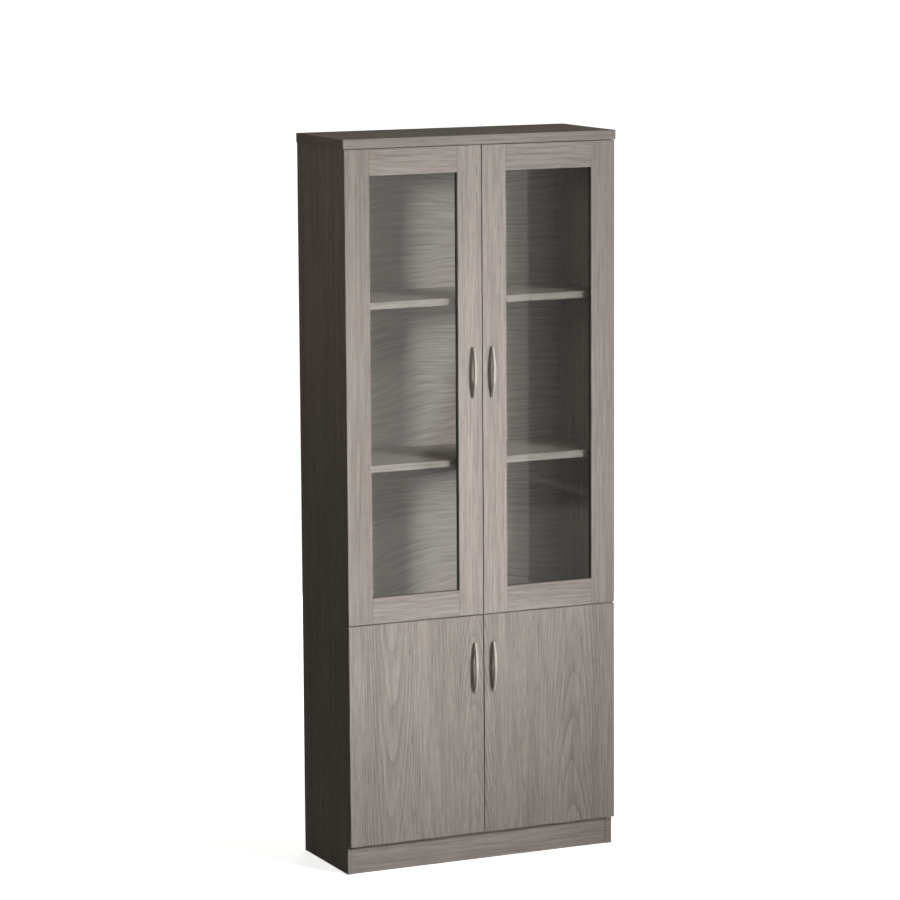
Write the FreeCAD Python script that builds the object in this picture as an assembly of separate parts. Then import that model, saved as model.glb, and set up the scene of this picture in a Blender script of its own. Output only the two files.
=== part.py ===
import FreeCAD, Part
import math
import os

Vector = FreeCAD.Vector

# A tall cabinet: two framed glass doors above two slab doors, on a carcass of laminated board.
# Millimetres. X runs to the right, Y to the back and Z up. The origin is on the floor, at the
# middle of the width and midway between the handles' fronts and the rear edges.

# Overall sizes
WIDTH = 800.0  # top panel, side to side
DEPTH = 320.0  # top panel, front to back
HEIGHT = 1980.0

# Carcass
BOARD = 18.0  # side, bottom and middle panels, plinths and shelves
TOP_BOARD = 25.0
TOP_SIDE_OVERHANG = 2.0  # top panel past each side panel
TOP_FRONT_OVERHANG = 1.0  # top panel past the door faces
PLINTH_HEIGHT = 76.0
PLINTH_SETBACK = 2.0  # front plinth behind the side panels' front edges
REAR_PLINTH_SETBACK = 30.0
BACK_BOARD = 6.0
BACK_RECESS = 10.0  # back panels in front of the rear edges
BACK_GROOVE = 7.0  # depth of the grooves that hold the back panels
GROOVE_PLAY = 0.15  # on each face of a back panel
BACK_JOINT = 0.5  # between the two back panels

# Shelves
SHELF_TOPS = [390.0, 1107.0, 1544.0]
SHELF_SETBACK = 11.0  # front edge behind the carcass front
SHELF_PLAY = 0.5  # at each end and at the back
SHELF_PIN_RADIUS = 2.5
SHELF_PIN_SEAT = 8.0  # length in the side panel
SHELF_PIN_REACH = 9.0  # length under the shelf
SHELF_PIN_INSET = 45.0  # from the shelf's front and rear edges

# Doors
DOOR_BOARD = 18.0
DOOR_STANDOFF = 2.0  # door backs in front of the carcass
DOOR_REVEAL = 1.0  # hinge edge inside the side panel's outer face
DOOR_GAP = 2.5  # between the two doors of a row
ROW_GAP = 3.0  # between the upper and the lower row
ROW_LINE = 683.5  # height of the middle of that gap
DOOR_TOP_GAP = 2.0  # under the top panel
DOOR_LIFT = 3.0  # lower doors above the plinth
STILE_WIDTH = 70.0
RAIL_WIDTH = 70.0
SOFT_EDGE = 0.8  # rounding of the banded front edges
GLASS_LIP = 8.0  # frame thickness in front of the glass
GLASS_REBATE = 10.0  # how far the rebate runs behind the frame's inner edge
GLASS_THICKNESS = 4.0
GLASS_PLAY = 0.5  # round the edge of the pane

# Bow handles
HANDLE_LENGTH = 138.0
HANDLE_HOLE_INSET = 5.0  # screw centres from the handle's ends
HANDLE_REACH = 18.5  # in front of the door face
HANDLE_SHOULDER = 6.5  # reach of the handle at its two ends
HANDLE_BAR = 4.8  # thickness of the bow at its middle
HANDLE_FOOT = 11.0  # length of each foot on the door
HANDLE_MID_WIDTH = 11.5
HANDLE_END_WIDTH = 9.0
HANDLE_INSET = 26.6  # centre line from the door's meeting edge
UPPER_HANDLE_RISE = 660.0  # handle centre above the glass door's bottom edge
LOWER_HANDLE_DROP = 143.0  # handle centre below the lower door's top edge

# Concealed hinges: a four-bar linkage between an arm on the side panel and a cup in the door.
# Positions are in plan. ARM_ places are measured inwards from the side panel's inner face and
# back from the carcass front, CUP_ places inwards from the door's hinge edge and forwards
# from the door's back face.
HINGE_END_DISTANCE = 100.0  # outermost hinges from the door's top and bottom edges
UPPER_HINGES = 3
LOWER_HINGES = 2
CUP_RADIUS = 17.5
CUP_DEPTH = 12.5
CUP_WALL = 0.8
CUP_EDGE = 3.0  # door board left between the cup and the hinge edge
FLANGE_THICKNESS = 0.8
FLANGE_RIM = 0.8  # flange past the cup's wall
FLANGE_EAR_RADIUS = 4.5
EAR_OFFSET = 6.0  # ears further in than the cup's centre
EAR_SPACING = 48.0
SHORT_ARM_PIVOT = (8.13, 2.01)
SHORT_CUP_PIVOT = (10.13, 4.5)
SHORT_CUP_ELBOWS = [(21.8, 9.9), (14.6, 9.9)]  # from the arm's end to the cup's
LONG_ARM_PIVOT = (18.98, 22.92)
LONG_CUP_PIVOT = (9.15, 1.2)
LONG_ARM_ELBOW = (10.8, 0.6)
LONG_CUP_ELBOW = (24.6, 0.0)
LINK_HALF_WIDTH = 1.2
LINK_EYE_RADIUS = 2.4
LINK_LAYER = 4.6  # height of each link, one above the other
LINK_PLAY = 0.4  # between the links, and between a link and a cheek
PIVOT_RADIUS = 1.2
PIVOT_PLAY = 0.05
OPEN_PIVOT_PLAY = 0.3  # the long link's cup eye, which takes up the linkage's lost motion
CHEEK_THICKNESS = 1.2
CHEEK_RADIUS = 2.8  # of the arm's cheeks round the pivots
ARM_WEB = 1.2
ARM_LENGTH = 64.0  # back from the carcass front
PLATE_HEIGHT = 8.0  # arm seat above the side panel
PLATE_THICKNESS = 1.8
PLATE_SETBACK = 37.0  # middle of the plate's wings behind the carcass front
PLATE_WIDTH = 13.0
PLATE_SPAN = 46.0
PLATE_BOSS_LENGTH = 30.0

# Fasteners
FIT = 0.05  # between a fastener and its hole
HANDLE_SCREW_RADIUS = 2.0
HANDLE_SCREW_GRIP = 5.0  # length in the handle's foot
HANDLE_SCREW_HEAD = 4.0
SCREW_HEAD_HEIGHT = 1.6
BACK_SCREW_RADIUS = 1.6
BACK_SCREW_HEAD = 3.2
BACK_SCREW_LENGTH = 16.0
BACK_SCREWS = 4
CAM_RADIUS = 7.5
CAM_DEPTH = 12.5
CAM_DISTANCE = 34.0  # cam centre from the joint
CAM_BOLT_RADIUS = 3.5
CAM_BOLT_SEAT = 11.0  # length in the other board
CAM_INSET = 60.0  # fittings from the board's front and rear edges
BUMPER_RADIUS = 3.0
BUMPER_PLAY = 0.3  # behind the closed door
BUMPER_INSET = 12.0  # from the middle of the cabinet

# Small round pieces and their holes are prisms with few sides
SCREW_SIDES = 6
PIVOT_SIDES = 8
CUP_SIDES = 12

# Derived places
CARCASS_HALF = WIDTH / 2 - TOP_SIDE_OVERHANG
INNER_HALF = CARCASS_HALF - BOARD
REAR_Y = (DEPTH - TOP_FRONT_OVERHANG + HANDLE_REACH) / 2
TOP_FRONT_Y = REAR_Y - DEPTH
DOOR_FACE_Y = TOP_FRONT_Y + TOP_FRONT_OVERHANG
DOOR_BACK_Y = DOOR_FACE_Y + DOOR_BOARD
CARCASS_FRONT_Y = DOOR_BACK_Y + DOOR_STANDOFF
BACK_REAR_Y = REAR_Y - BACK_RECESS
BACK_FRONT_Y = BACK_REAR_Y - BACK_BOARD
SIDE_TOP_Z = HEIGHT - TOP_BOARD
DOOR_OUTER_X = -CARCASS_HALF + DOOR_REVEAL
DOOR_INNER_X = -DOOR_GAP / 2
UPPER_DOOR_Z = (ROW_LINE + ROW_GAP / 2, SIDE_TOP_Z - DOOR_TOP_GAP)
LOWER_DOOR_Z = (PLINTH_HEIGHT + DOOR_LIFT, ROW_LINE - ROW_GAP / 2)
HANDLE_X = DOOR_INNER_X - HANDLE_INSET
UPPER_HANDLE_Z = UPPER_DOOR_Z[0] + UPPER_HANDLE_RISE
LOWER_HANDLE_Z = LOWER_DOOR_Z[1] - LOWER_HANDLE_DROP
CUP_CENTRE_X = DOOR_OUTER_X + CUP_EDGE + CUP_RADIUS
EAR_X = CUP_CENTRE_X + EAR_OFFSET
CHEEK_INNER = LINK_LAYER + LINK_PLAY * 1.5  # height of a cheek's inner face from the hinge's middle

RIGHT = Vector(1, 0, 0)
BACK = Vector(0, 1, 0)
UP = Vector(0, 0, 1)


def block(x, y, z):
    """A box between two limits in each direction."""
    return Part.makeBox(x[1] - x[0], y[1] - y[0], z[1] - z[0], Vector(x[0], y[0], z[0]))


def ring(centre, axis, radius, sides):
    """Corners of a regular polygon round an axis, with a flat towards the right or the top."""
    across = UP if abs(axis.x) > axis.Length / 2 else RIGHT
    corners = []
    for step in range(sides):
        turn = FreeCAD.Rotation(axis, 360.0 * (step + 0.5) / sides)
        corners.append(centre + turn.multVec(across * radius))
    return corners


def slab(corners, along):
    """A flat outline carried along a vector."""
    return Part.Face(Part.makePolygon(corners + corners[:1])).extrude(along)


def prism_rod(radius, base, along, sides=SCREW_SIDES):
    """A rod with a few flat sides, whose corners lie on the radius."""
    return slab(ring(base, along, radius, sides), along)


def prism_hole(radius, play, base, along, sides=SCREW_SIDES):
    """A hole for a turning prism rod: its flats clear the rod's corners by the play."""
    return prism_rod((radius + play) / math.cos(math.pi / sides), base, along, sides)


def capsule(start, end, radius, along):
    """A slab between two places with half an octagon at each end."""
    corners = []
    for centre, out in ((start, start - end), (end, end - start)):
        tip = centre + Vector(out).normalize() * radius - centre
        for angle in (-67.5, -22.5, 22.5, 67.5):
            corners.append(centre + FreeCAD.Rotation(along, angle).multVec(tip))
    return slab(corners, along)


def mirrored(shape):
    """The same piece on the other side of the cabinet."""
    return shape.mirror(Vector(0, 0, 0), RIGHT)


def cut_all(shape, tools):
    return shape.cut(Part.makeCompound(tools)) if tools else shape


def moved_up(shape, height):
    copy = shape.copy()
    copy.translate(UP * height)
    return copy


def rounded(shape, radius, chosen):
    """Round the edges for which chosen(edge's middle, edge's direction) holds."""
    edges = []
    for edge in shape.Edges:
        first, last = edge.ParameterRange
        middle = edge.valueAt((first + last) / 2)
        if chosen(middle, edge.tangentAt((first + last) / 2)):
            edges.append(edge)
    return shape.makeFillet(radius, edges)


# ---- Hinges. Each piece is made for the left side at height 0 and copied to each hinge ----


def on_arm(place):
    return Vector(-INNER_HALF + place[0], CARCASS_FRONT_Y + place[1], 0)


def in_cup(place):
    return Vector(DOOR_OUTER_X + place[0], DOOR_BACK_Y - place[1], 0)


def strip(line, half_width, along):
    """An upright slab that follows a line in plan, with mitred corners."""
    normals = []
    for start, end in zip(line, line[1:]):
        ahead = (end - start).normalize()
        normals.append(Vector(-ahead.y, ahead.x, 0))
    left, right = [], []
    for point, one, two in zip(line, normals[:1] + normals, normals + normals[-1:]):
        mitre = (one + two) * (half_width / (1 + one.dot(two)))
        left.append(point + mitre)
        right.append(point - mitre)
    return slab(left + right[::-1], along)


def link(line, low, cup_play):
    """A bent link from its pivot on the arm to its pivot in the cup, with an eye at each."""
    line = [point + UP * low for point in line]
    height = UP * LINK_LAYER
    body = strip(line, LINK_HALF_WIDTH, height)
    for pivot in (line[0], line[-1]):
        body = body.fuse(prism_rod(LINK_EYE_RADIUS, pivot, height, PIVOT_SIDES))
    eyes = [prism_hole(PIVOT_RADIUS, PIVOT_PLAY, line[0], height, PIVOT_SIDES),
            prism_hole(PIVOT_RADIUS, cup_play, line[-1], height, PIVOT_SIDES)]
    return cut_all(body.removeSplitter(), eyes)


def short_link():
    """The lower link, which carries the door."""
    line = [on_arm(SHORT_ARM_PIVOT)] + [in_cup(elbow) for elbow in SHORT_CUP_ELBOWS]
    return link(line + [in_cup(SHORT_CUP_PIVOT)], -LINK_PLAY / 2 - LINK_LAYER, PIVOT_PLAY)


def long_link():
    """The upper link, which steers the door."""
    line = [on_arm(LONG_ARM_PIVOT), on_arm(LONG_ARM_ELBOW), in_cup(LONG_CUP_ELBOW)]
    return link(line + [in_cup(LONG_CUP_PIVOT)], LINK_PLAY / 2, OPEN_PIVOT_PLAY)


def hinge_arm():
    """A channel with two cheeks, its web seated on the plate's boss.

    The short link's pin stands on the lower cheek alone, so that the long link can pass over it.
    """
    short, long = on_arm(SHORT_ARM_PIVOT), on_arm(LONG_ARM_PIVOT)
    seat_x = -INNER_HALF + PLATE_HEIGHT
    rear_y = CARCASS_FRONT_Y + ARM_LENGTH
    web_y = rear_y - PLATE_BOSS_LENGTH
    skirt_x = -INNER_HALF + PLATE_THICKNESS + LINK_PLAY
    outline = [
        Vector(skirt_x, short.y + CHEEK_RADIUS, 0),
        Vector(skirt_x, rear_y, 0),
        Vector(seat_x + ARM_WEB, rear_y, 0),
        Vector(seat_x + ARM_WEB, web_y, 0),
        long,
        short,
    ]
    cheek = slab(outline, UP * CHEEK_THICKNESS)
    cheek = cheek.fuse(capsule(short, long, CHEEK_RADIUS, UP * CHEEK_THICKNESS)).removeSplitter()
    arm = block((seat_x, seat_x + ARM_WEB), (web_y, rear_y), (-CHEEK_INNER, CHEEK_INNER))
    for height in (CHEEK_INNER, -CHEEK_INNER - CHEEK_THICKNESS):
        arm = arm.fuse(moved_up(cheek, height))
    for pivot, top in ((short, -LINK_PLAY / 2), (long, CHEEK_INNER)):
        base = pivot - UP * CHEEK_INNER
        arm = arm.fuse(prism_rod(PIVOT_RADIUS, base, UP * (top + CHEEK_INNER), PIVOT_SIDES))
    return arm.removeSplitter()


def hinge_plate():
    """A cross plate on the side panel with a boss that fills the arm's channel."""
    middle = CARCASS_FRONT_Y + PLATE_SETBACK
    wings = block((-INNER_HALF, -INNER_HALF + PLATE_THICKNESS),
                  (middle - PLATE_WIDTH / 2, middle + PLATE_WIDTH / 2), (-PLATE_SPAN / 2, PLATE_SPAN / 2))
    rear_y = CARCASS_FRONT_Y + ARM_LENGTH
    half = CHEEK_INNER - LINK_PLAY
    boss = block((-INNER_HALF, -INNER_HALF + PLATE_HEIGHT), (rear_y - PLATE_BOSS_LENGTH, rear_y),
                 (-half, half))
    return wings.fuse(boss).removeSplitter()


def ear_place(side):
    return Vector(EAR_X, DOOR_BACK_Y, side * EAR_SPACING / 2)


def hinge_cup():
    """A drawn cup with a flange, two ears, and a lug with a pin for each link."""
    mouth = Vector(CUP_CENTRE_X, DOOR_BACK_Y, 0)
    sheet = BACK * FLANGE_THICKNESS
    cup = prism_rod(CUP_RADIUS + FLANGE_RIM, mouth, sheet, CUP_SIDES)
    cup = cup.fuse(capsule(ear_place(-1), ear_place(1), FLANGE_EAR_RADIUS, sheet)).removeSplitter()
    cup = cup.fuse(prism_rod(CUP_RADIUS, mouth, BACK * -CUP_DEPTH, CUP_SIDES))
    floor_y = DOOR_BACK_Y - CUP_DEPTH + CUP_WALL
    hollow = prism_rod(CUP_RADIUS - CUP_WALL, mouth + sheet,
                       BACK * (CUP_WALL - CUP_DEPTH - FLANGE_THICKNESS), CUP_SIDES)
    cup = cup.removeSplitter().cut(hollow)
    for pivot, side in ((in_cup(SHORT_CUP_PIVOT), -1), (in_cup(LONG_CUP_PIVOT), 1)):
        lug_z = sorted((side * CHEEK_INNER, side * (CHEEK_INNER + CHEEK_THICKNESS)))
        lug_x = pivot.x - LINK_EYE_RADIUS, pivot.x + LINK_EYE_RADIUS
        lug = block(lug_x, (floor_y, min(pivot.y + LINK_EYE_RADIUS, DOOR_BACK_Y)), lug_z)
        pin = prism_rod(PIVOT_RADIUS, pivot + UP * (side * LINK_PLAY / 2),
                        UP * (side * (CHEEK_INNER - LINK_PLAY / 2)), PIVOT_SIDES)
        cup = cup.fuse(lug).fuse(pin)
    return cup.removeSplitter()


def cup_bore():
    """What the cup takes out of the door."""
    return prism_rod(CUP_RADIUS, Vector(CUP_CENTRE_X, DOOR_BACK_Y, 0), BACK * -CUP_DEPTH, CUP_SIDES)


def hinge_heights(door_z, count):
    low, high = door_z[0] + HINGE_END_DISTANCE, door_z[1] - HINGE_END_DISTANCE
    return [low + (high - low) * step / (count - 1) for step in range(count)]


UPPER_HINGE_HEIGHTS = hinge_heights(UPPER_DOOR_Z, UPPER_HINGES)
LOWER_HINGE_HEIGHTS = hinge_heights(LOWER_DOOR_Z, LOWER_HINGES)


def at_heights(shapes, heights):
    return [moved_up(shape, height) for height in heights for shape in shapes]


def screw(place, inward, radius, head_radius, length):
    """A pan-head screw whose head sits at place and whose shank runs inward."""
    head = prism_rod(head_radius, place, Vector(inward).normalize() * -SCREW_HEAD_HEIGHT)
    return head.fuse(prism_rod(radius, place, inward * length)).removeSplitter()


# ---- Knock-down fittings: a cam in one board draws a bolt that is screwed into the other ----


def fitting(joint, toward, face):
    """One fitting's cam, bolt and the holes for both.

    joint is where the bolt crosses the joint, toward points into the board that takes the
    bolt, and face points from the cam board's middle to the face where the cam shows.
    """
    centre = joint - toward * CAM_DISTANCE + face * (BOARD / 2)
    bolt_start = joint - toward * (CAM_DISTANCE - CAM_RADIUS)
    bolt_length = CAM_DISTANCE - CAM_RADIUS + CAM_BOLT_SEAT
    cam = prism_rod(CAM_RADIUS, centre, face * -CAM_DEPTH)
    bolt = prism_rod(CAM_BOLT_RADIUS, bolt_start, toward * bolt_length)
    holes = [
        prism_rod(CAM_RADIUS + FIT, centre, face * -CAM_DEPTH),
        prism_rod(CAM_BOLT_RADIUS + FIT, bolt_start, toward * (bolt_length + FIT)),
    ]
    return cam, bolt, holes


def panel_fittings():
    """The left side's fittings: down into the side panel from the top, and from two panels."""
    found = []
    for y in (CARCASS_FRONT_Y + CAM_INSET, BACK_FRONT_Y - CAM_INSET):
        middle = -CARCASS_HALF + BOARD / 2
        found.append(fitting(Vector(middle, y, SIDE_TOP_Z), UP, RIGHT))
        for height in (PLINTH_HEIGHT + BOARD / 2, ROW_LINE):
            found.append(fitting(Vector(-INNER_HALF, y, height), -RIGHT, -UP))
    return found


FITTINGS = panel_fittings()
FITTING_HOLES = [hole for made in FITTINGS for hole in made[2]]


def both_sides(shapes):
    return shapes + [mirrored(shape) for shape in shapes]


# ---- Carcass ----


def shelf_pin_places():
    """Each pin's axis on the left side panel's inner face."""
    front = CARCASS_FRONT_Y + SHELF_SETBACK + SHELF_PIN_INSET
    rear = BACK_FRONT_Y - SHELF_PIN_INSET
    return [Vector(-INNER_HALF, y, top - BOARD - SHELF_PIN_RADIUS)
            for top in SHELF_TOPS for y in (front, rear)]


def side_panel():
    panel = block((-CARCASS_HALF, -INNER_HALF), (CARCASS_FRONT_Y, REAR_Y), (0, SIDE_TOP_Z))
    groove_y = BACK_FRONT_Y - GROOVE_PLAY, BACK_REAR_Y + GROOVE_PLAY
    tools = [block((-INNER_HALF - BACK_GROOVE, -INNER_HALF), groove_y, (0, SIDE_TOP_Z))]
    tools += [prism_rod(SHELF_PIN_RADIUS + FIT, place, RIGHT * -SHELF_PIN_SEAT)
              for place in shelf_pin_places()]
    return cut_all(panel, tools + FITTING_HOLES)


def top_panel():
    panel = block((-WIDTH / 2, WIDTH / 2), (TOP_FRONT_Y, REAR_Y), (SIDE_TOP_Z, HEIGHT))
    panel = rounded(panel, SOFT_EDGE, lambda at, along: at.y == TOP_FRONT_Y and abs(along.x) > 0.9)
    groove_x = INNER_HALF + BACK_GROOVE
    groove_y = BACK_FRONT_Y - GROOVE_PLAY, BACK_REAR_Y + GROOVE_PLAY
    groove = block((-groove_x, groove_x), groove_y, (SIDE_TOP_Z, SIDE_TOP_Z + BACK_GROOVE))
    return cut_all(panel, [groove] + both_sides(FITTING_HOLES))


def between_sides(low):
    """A fixed panel from side to side whose underside is at the given height."""
    panel = block((-INNER_HALF, INNER_HALF), (CARCASS_FRONT_Y, BACK_FRONT_Y), (low, low + BOARD))
    return cut_all(panel, both_sides(FITTING_HOLES) + back_screw_holes())


def shelf(top):
    half = INNER_HALF - SHELF_PLAY
    y = CARCASS_FRONT_Y + SHELF_SETBACK, BACK_FRONT_Y - SHELF_PLAY
    return block((-half, half), y, (top - BOARD, top))


def back_panel(low, high):
    half = INNER_HALF + BACK_GROOVE - SHELF_PLAY
    panel = block((-half, half), (BACK_FRONT_Y, BACK_REAR_Y), (low, high))
    return cut_all(panel, back_screw_holes())


def back_screw_places():
    """Screws through the back panels into the bottom panel and, past the joint, the middle one."""
    quarter = BOARD / 4
    heights = [PLINTH_HEIGHT + BOARD / 2, ROW_LINE - quarter, ROW_LINE + quarter]
    pitch = INNER_HALF * 2 / BACK_SCREWS
    xs = [-INNER_HALF + pitch * (step + 0.5) for step in range(BACK_SCREWS)]
    return [Vector(x, BACK_REAR_Y, height) for height in heights for x in xs]


def back_screw_holes():
    return [prism_rod(BACK_SCREW_RADIUS + FIT, place, BACK * -BACK_SCREW_LENGTH)
            for place in back_screw_places()]


def back_screws():
    return [screw(place, -BACK, BACK_SCREW_RADIUS, BACK_SCREW_HEAD, BACK_SCREW_LENGTH)
            for place in back_screw_places()]


def bumpers():
    """Soft stops on the carcass behind the doors' inner corners."""
    heights = [
        (LOWER_DOOR_Z[0] + PLINTH_HEIGHT + BOARD) / 2,
        (ROW_LINE - BOARD / 2 + LOWER_DOOR_Z[1]) / 2,
        (ROW_LINE + BOARD / 2 + UPPER_DOOR_Z[0]) / 2,
    ]
    reach = BACK * -(DOOR_STANDOFF - BUMPER_PLAY)
    return [prism_rod(BUMPER_RADIUS, Vector(-BUMPER_INSET, CARCASS_FRONT_Y, height), reach)
            for height in heights]


# ---- Doors, made for the left side ----


def handle(height):
    """A bow of even curve on two feet, slimmer towards its ends."""
    half = HANDLE_LENGTH / 2
    foot = half - HANDLE_FOOT

    def at(reach, along):
        return Vector(HANDLE_X, DOOR_FACE_Y - reach, height + along)

    side = [
        Part.LineSegment(at(0, half), at(HANDLE_SHOULDER, half)).toShape(),
        Part.Arc(at(HANDLE_SHOULDER, half), at(HANDLE_REACH, 0), at(HANDLE_SHOULDER, -half)).toShape(),
        Part.LineSegment(at(HANDLE_SHOULDER, -half), at(0, -half)).toShape(),
        Part.LineSegment(at(0, -half), at(0, -foot)).toShape(),
        Part.Arc(at(0, -foot), at(HANDLE_REACH - HANDLE_BAR, 0), at(0, foot)).toShape(),
        Part.LineSegment(at(0, foot), at(0, half)).toShape(),
    ]
    bow = Part.Face(Part.Wire(side)).extrude(RIGHT * HANDLE_MID_WIDTH)
    bow.translate(RIGHT * (-HANDLE_MID_WIDTH / 2))
    middle, end = HANDLE_MID_WIDTH / 2, HANDLE_END_WIDTH / 2

    def front(across, along):
        return Vector(HANDLE_X + across, DOOR_FACE_Y, height + along)

    waist = [
        Part.Arc(front(end, half), front(middle, 0), front(end, -half)).toShape(),
        Part.LineSegment(front(end, -half), front(-end, -half)).toShape(),
        Part.Arc(front(-end, -half), front(-middle, 0), front(-end, half)).toShape(),
        Part.LineSegment(front(-end, half), front(end, half)).toShape(),
    ]
    bow = bow.common(Part.Face(Part.Wire(waist)).extrude(BACK * -HANDLE_REACH))
    return cut_all(bow, handle_screw_holes(height))


def handle_screw_starts(height):
    half = HANDLE_LENGTH / 2 - HANDLE_HOLE_INSET
    return [Vector(HANDLE_X, DOOR_BACK_Y, height + side * half) for side in (-1, 1)]


def handle_screw_holes(height):
    reach = BACK * -(DOOR_BOARD + HANDLE_SCREW_GRIP)
    return [prism_rod(HANDLE_SCREW_RADIUS + FIT, start, reach)
            for start in handle_screw_starts(height)]


def handle_screws(height):
    return [screw(start, -BACK, HANDLE_SCREW_RADIUS, HANDLE_SCREW_HEAD,
                  DOOR_BOARD + HANDLE_SCREW_GRIP) for start in handle_screw_starts(height)]


GLASS_BACK_Y = DOOR_FACE_Y + GLASS_LIP + GLASS_THICKNESS
OPENING_X = DOOR_OUTER_X + STILE_WIDTH, DOOR_INNER_X - STILE_WIDTH
OPENING_Z = UPPER_DOOR_Z[0] + RAIL_WIDTH, UPPER_DOOR_Z[1] - RAIL_WIDTH


def grown(limits, by):
    return limits[0] - by, limits[1] + by


def glass_rebate():
    """The step behind the frame's inner edge that takes the pane and its beads."""
    rebate_y = DOOR_FACE_Y + GLASS_LIP, DOOR_BACK_Y
    return block(grown(OPENING_X, GLASS_REBATE), rebate_y, grown(OPENING_Z, GLASS_REBATE))


def soften_vertical(shape, x):
    return rounded(shape, SOFT_EDGE,
                   lambda at, along: at.x == x and at.y == DOOR_FACE_Y and abs(along.z) > 0.9)


def stile(x, outer_x, tools):
    piece = block(x, (DOOR_FACE_Y, DOOR_BACK_Y), UPPER_DOOR_Z)
    return cut_all(soften_vertical(piece, outer_x), [glass_rebate()] + tools)


def rail(low):
    piece = block(OPENING_X, (DOOR_FACE_Y, DOOR_BACK_Y), (low, low + RAIL_WIDTH))
    return piece.cut(glass_rebate())


def glass():
    edge = GLASS_REBATE - GLASS_PLAY
    y = DOOR_FACE_Y + GLASS_LIP, GLASS_BACK_Y
    return block(grown(OPENING_X, edge), y, grown(OPENING_Z, edge))


def glazing_beads():
    """Four strips that fill the rebate behind the glass."""
    x, y, z = grown(OPENING_X, GLASS_REBATE), (GLASS_BACK_Y, DOOR_BACK_Y), grown(OPENING_Z, GLASS_REBATE)
    beads = [block((x[0], OPENING_X[0]), y, z), block((OPENING_X[1], x[1]), y, z)]
    beads += [block(OPENING_X, y, (z[0], OPENING_Z[0])), block(OPENING_X, y, (OPENING_Z[1], z[1]))]
    return beads


def glass_door():
    bores = at_heights([cup_bore()], UPPER_HINGE_HEIGHTS)
    return {
        "hinge_stile": stile((DOOR_OUTER_X, OPENING_X[0]), DOOR_OUTER_X, bores),
        "handle_stile": stile((OPENING_X[1], DOOR_INNER_X), DOOR_INNER_X,
                              handle_screw_holes(UPPER_HANDLE_Z)),
        "bottom_rail": rail(UPPER_DOOR_Z[0]),
        "top_rail": rail(OPENING_Z[1]),
        "glass": glass(),
        "glazing_beads": glazing_beads(),
        "handle": handle(UPPER_HANDLE_Z),
        "handle_screws": handle_screws(UPPER_HANDLE_Z),
    }


def slab_door():
    slab = block((DOOR_OUTER_X, DOOR_INNER_X), (DOOR_FACE_Y, DOOR_BACK_Y), LOWER_DOOR_Z)
    slab = soften_vertical(soften_vertical(slab, DOOR_OUTER_X), DOOR_INNER_X)
    bores = at_heights([cup_bore()], LOWER_HINGE_HEIGHTS) + handle_screw_holes(LOWER_HANDLE_Z)
    return {
        "slab": cut_all(slab, bores),
        "handle": handle(LOWER_HANDLE_Z),
        "handle_screws": handle_screws(LOWER_HANDLE_Z),
    }


def door_hinges(heights):
    return {
        "hinge_cups": at_heights([hinge_cup()], heights),
        "short_links": at_heights([short_link()], heights),
        "long_links": at_heights([long_link()], heights),
    }


def carcass():
    hinge_heights_all = UPPER_HINGE_HEIGHTS + LOWER_HINGE_HEIGHTS
    left_side = side_panel()
    pins = [prism_rod(SHELF_PIN_RADIUS, place - RIGHT * SHELF_PIN_SEAT,
                      RIGHT * (SHELF_PIN_SEAT + SHELF_PIN_REACH)) for place in shelf_pin_places()]
    plinth_front = CARCASS_FRONT_Y + PLINTH_SETBACK
    plinth_rear = REAR_Y - REAR_PLINTH_SETBACK
    plinth_x = -INNER_HALF, INNER_HALF
    return {
        "side_panel_left": left_side,
        "side_panel_right": mirrored(left_side),
        "top_panel": top_panel(),
        "bottom_panel": between_sides(PLINTH_HEIGHT),
        "middle_panel": between_sides(ROW_LINE - BOARD / 2),
        "back_panel_lower": back_panel(PLINTH_HEIGHT, ROW_LINE - BACK_JOINT / 2),
        "back_panel_upper": back_panel(ROW_LINE + BACK_JOINT / 2,
                                       SIDE_TOP_Z + BACK_GROOVE - SHELF_PLAY),
        "plinth_front": block(plinth_x, (plinth_front, plinth_front + BOARD), (0, PLINTH_HEIGHT)),
        "plinth_rear": block(plinth_x, (plinth_rear - BOARD, plinth_rear), (0, PLINTH_HEIGHT)),
        "base_shelf": shelf(SHELF_TOPS[0]),
        "lower_glass_shelf": shelf(SHELF_TOPS[1]),
        "upper_glass_shelf": shelf(SHELF_TOPS[2]),
        "shelf_pins": both_sides(pins),
        "cam_housings": both_sides([made[0] for made in FITTINGS]),
        "cam_bolts": both_sides([made[1] for made in FITTINGS]),
        "back_panel_screws": back_screws(),
        "door_bumpers": both_sides(bumpers()),
        "hinge_arms": both_sides(at_heights([hinge_arm()], hinge_heights_all)),
        "hinge_plates": both_sides(at_heights([hinge_plate()], hinge_heights_all)),
    }


def save(name, piece):
    shape = Part.makeCompound(piece) if isinstance(piece, list) else piece
    shape.exportStep(os.path.join("parts", name + ".step"))


def main():
    os.makedirs("parts", exist_ok=True)
    for name, piece in carcass().items():
        save(name, piece)
    rows = (
        ("upper", {**glass_door(), **door_hinges(UPPER_HINGE_HEIGHTS)}),
        ("lower", {**slab_door(), **door_hinges(LOWER_HINGE_HEIGHTS)}),
    )
    for row, pieces in rows:
        for name, piece in pieces.items():
            save(f"{row}_left_{name}", piece)
            other = [mirrored(one) for one in piece] if isinstance(piece, list) else mirrored(piece)
            save(f"{row}_right_{name}", other)


main()
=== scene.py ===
"""The bookcase's finishes and small fittings: grey oak, clear panes, bow handles and hinges.

Metres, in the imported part's own frame: X to the right, Y to the back, Z up, floor at 0.
"""

import math

import bmesh
import bpy
import numpy as np
from mathutils import Matrix, Vector


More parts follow.
